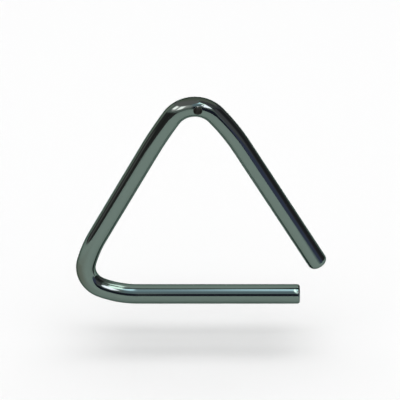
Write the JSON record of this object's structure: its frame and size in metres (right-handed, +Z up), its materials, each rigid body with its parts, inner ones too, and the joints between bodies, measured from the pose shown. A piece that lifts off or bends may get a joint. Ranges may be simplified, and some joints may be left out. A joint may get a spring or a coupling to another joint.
{
  "type": "triangle instrument",
  "caption": "Round plated steel bar bent into an open-cornered triangle, with a drilled hang hole in the crown; it is hung from a cord and struck to ring.",
  "frame": {"origin": "middle of the hang hole, on the bar's centreline at the crown", "axes": "+X towards the open corner, along the level bottom leg; +Y along the hang hole, from the front to the back; +Z up, from the bottom leg to the crown"},
  "size_m": [0.1272, 0.01, 0.116],
  "materials": {
    "plated_steel": "polished dark grey-green plating with fine drawn lines"
  },
  "bodies": {
    "root": {"triangle_bar": "plated_steel"}
  },
  "joints": []
}
